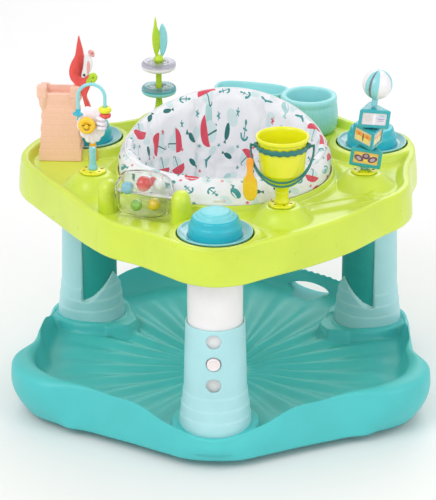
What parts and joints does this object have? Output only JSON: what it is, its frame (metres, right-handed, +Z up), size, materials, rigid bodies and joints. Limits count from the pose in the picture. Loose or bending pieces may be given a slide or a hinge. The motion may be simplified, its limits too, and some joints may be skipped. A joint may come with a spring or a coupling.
{
  "type": "activity jumper",
  "caption": "Stationary baby activity jumper: round saucer base, telescoping legs, bouncing tray with spinning toys, snack dish and a swivel fabric seat.",
  "frame": {"origin": "on the floor under the centre of the saucer's round belly", "axes": "+Z up, -Y towards the front leg, +X to the right seen from the front"},
  "size_m": [0.7745, 0.8167, 0.666],
  "materials": {
    "saucer_teal": "moulded, satin",
    "sleeve_aqua": "moulded, satin",
    "spine_teal": "moulded, satin",
    "tube_white": "moulded, smooth",
    "button_white": "moulded, smooth",
    "dish_aqua": "translucent, glossy",
    "dome_turquoise": "moulded, glossy",
    "tray_lime": "moulded, semi-gloss",
    "track_white": "moulded",
    "seat_print": "printed woven fabric over padding",
    "foot_teal": "moulded",
    "steel": "plain",
    "toy_yellow": "moulded, glossy",
    "toy_orange": "moulded, glossy",
    "toy_peach": "moulded, satin",
    "toy_red": "moulded, glossy",
    "toy_white": "moulded, glossy",
    "toy_aqua": "moulded, glossy",
    "toy_teal": "moulded, glossy",
    "toy_lime": "moulded, glossy",
    "drum_clear": "clear moulded plastic",
    "bead_mix": "moulded beads in mixed colours",
    "snack_aqua": "moulded, satin"
  },
  "bodies": {
    "base": {"base_saucer": "saucer_teal", "base_screws": "steel", "foot_hinge_pins": "steel", "leg_sleeve_front": "sleeve_aqua", "leg_sleeve_right": "sleeve_aqua", "leg_sleeve_left": "sleeve_aqua", "leg_spine_front": "spine_teal", "leg_spine_right": "spine_teal", "leg_spine_left": "spine_teal"},
    "legs": {"leg_tube_front": "tube_white", "leg_tube_right": "tube_white", "leg_tube_left": "tube_white", "leg_dish_front": "dish_aqua", "leg_dish_right": "dish_aqua", "leg_dish_left": "dish_aqua", "leg_dome_front": "dome_turquoise", "leg_dome_right": "dome_turquoise", "leg_dome_left": "dome_turquoise", "bounce_springs": "steel"},
    "tray": {"tray_shell": "tray_lime", "seat_track": "track_white", "toy_base_rings": "toy_yellow", "castle_tower": "toy_peach", "figure_stalk": "toy_orange", "bead_toy_stem": "toy_aqua", "bead_arch": "toy_aqua", "shell_panel": "toy_white", "smile_bead_pin": "toy_white", "ring_toy_stem": "toy_lime", "leaf_lime": "toy_lime", "leaf_blue": "toy_aqua", "bucket_stem": "toy_yellow", "toy_bucket": "toy_yellow", "bucket_band": "toy_teal", "spinner_stem": "toy_aqua", "roller_axle": "toy_white", "snack_tray": "snack_aqua"},
    "seat": {"seat_ring": "track_white", "seat_fabric": "seat_print", "seat_clips": "track_white"},
    "figure": {"flame_figure": "toy_red", "figure_beads": "toy_white"},
    "smile_bead": {"smile_bead": "toy_orange"},
    "arch_bead": {"arch_bead": "toy_yellow"},
    "ring_lower": {"stacking_ring_lower": "toy_aqua"},
    "ring_upper": {"stacking_ring_upper": "toy_white"},
    "handle": {"bucket_handle": "toy_teal"},
    "shovel": {"toy_shovel": "toy_orange"},
    "frame_low": {"picture_frame_low": "toy_teal"},
    "frame_middle": {"picture_frame_middle": "toy_teal"},
    "frame_top": {"picture_frame_top": "toy_teal"},
    "ball": {"beach_ball": "toy_white"},
    "roller": {"roller_drum": "drum_clear", "roller_beads": "bead_mix"},
    "button_front": {"height_button_front": "button_white"},
    "button_right": {"height_button_right": "button_white"},
    "button_left": {"height_button_left": "button_white"},
    "foot_fore_right": {"stabiliser_foot_fore_right": "foot_teal"},
    "foot_rear": {"stabiliser_foot_rear": "foot_teal"},
    "foot_fore_left": {"stabiliser_foot_fore_left": "foot_teal"}
  },
  "joints": [
    {"name": "height_slide", "type": "slide", "parent": "base", "child": "legs", "axis": [0, 0, 1], "range_m": [-0.0425, 0.0425]},
    {"name": "tray_bounce", "type": "slide", "parent": "legs", "child": "tray", "axis": [0, 0, 1], "range_m": [-0.025, 0], "stiffness_N_per_m": 3000, "springref_m": 0.03, "deforming": ["bounce_springs"]},
    {"name": "seat_swivel", "type": "hinge", "parent": "tray", "child": "seat", "pos_m": [0, 0, 0.42], "axis": [0, 0, 1], "continuous": true},
    {"name": "button_press_front", "type": "slide", "parent": "base", "child": "button_front", "axis": [0, -1, 0], "range_m": [-0.004, 0], "stiffness_N_per_m": 800, "springref_m": 0.002},
    {"name": "button_press_right", "type": "slide", "parent": "base", "child": "button_right", "axis": [0.866, 0.5, 0], "range_m": [-0.004, 0], "stiffness_N_per_m": 800, "springref_m": 0.002},
    {"name": "button_press_left", "type": "slide", "parent": "base", "child": "button_left", "axis": [-0.866, 0.5, 0], "range_m": [-0.004, 0], "stiffness_N_per_m": 800, "springref_m": 0.002},
    {"name": "foot_hinge_fore_right", "type": "hinge", "parent": "base", "child": "foot_fore_right", "pos_m": [0.29272, -0.169, 0.024], "axis": [0.5, 0.866, 0], "range_deg": [0, 35]},
    {"name": "foot_hinge_rear", "type": "hinge", "parent": "base", "child": "foot_rear", "pos_m": [0, 0.338, 0.024], "axis": [-1, 0, 0], "range_deg": [0, 35]},
    {"name": "foot_hinge_fore_left", "type": "hinge", "parent": "base", "child": "foot_fore_left", "pos_m": [-0.29272, -0.169, 0.024], "axis": [0.5, -0.866, 0], "range_deg": [0, 35]},
    {"name": "figure_wobble", "type": "hinge", "parent": "tray", "child": "figure", "pos_m": [-0.257, 0.072, 0.4788], "axis": [1, 0, 0], "range_deg": [-12, 12], "stiffness_Nm_per_rad": 0.6},
    {"name": "smile_bead_spin", "type": "hinge", "parent": "tray", "child": "smile_bead", "pos_m": [-0.251, -0.07, 0.539], "axis": [0, -1, 0], "continuous": true},
    {"name": "arch_bead_slide", "type": "slide", "parent": "tray", "child": "arch_bead", "axis": [0, 0, 1], "range_m": [0, 0.014]},
    {"name": "ring_lower_spin", "type": "hinge", "parent": "tray", "child": "ring_lower", "pos_m": [-0.144, 0.258, 0.49], "axis": [0, 0, 1], "continuous": true},
    {"name": "ring_upper_spin", "type": "hinge", "parent": "tray", "child": "ring_upper", "pos_m": [-0.144, 0.258, 0.54], "axis": [0, 0, 1], "continuous": true},
    {"name": "bucket_handle_swing", "type": "hinge", "parent": "tray", "child": "handle", "pos_m": [0.114, -0.208, 0.555], "axis": [-1, 0, 0], "range_deg": [-4, 60]},
    {"name": "shovel_swing", "type": "hinge", "parent": "handle", "child": "shovel", "pos_m": [0.05746, -0.23487, 0.535], "axis": [-0.2588, -0.9659, 0], "range_deg": [-25, 5]},
    {"name": "picture_low_spin", "type": "hinge", "parent": "tray", "child": "frame_low", "pos_m": [0.262, -0.032, 0.449], "axis": [0.1219, 0, 0.9925], "continuous": true},
    {"name": "picture_middle_spin", "type": "hinge", "parent": "tray", "child": "frame_middle", "pos_m": [0.262, -0.032, 0.449], "axis": [0.1219, 0, 0.9925], "continuous": true},
    {"name": "picture_top_spin", "type": "hinge", "parent": "tray", "child": "frame_top", "pos_m": [0.262, -0.032, 0.449], "axis": [0.1219, 0, 0.9925], "continuous": true},
    {"name": "ball_spin", "type": "hinge", "parent": "tray", "child": "ball", "pos_m": [0.262, -0.032, 0.449], "axis": [0.1219, 0, 0.9925], "continuous": true},
    {"name": "roller_spin", "type": "hinge", "parent": "tray", "child": "roller", "pos_m": [-0.134, -0.21, 0.46], "axis": [0.9397, -0.342, 0], "continuous": true}
  ]
}
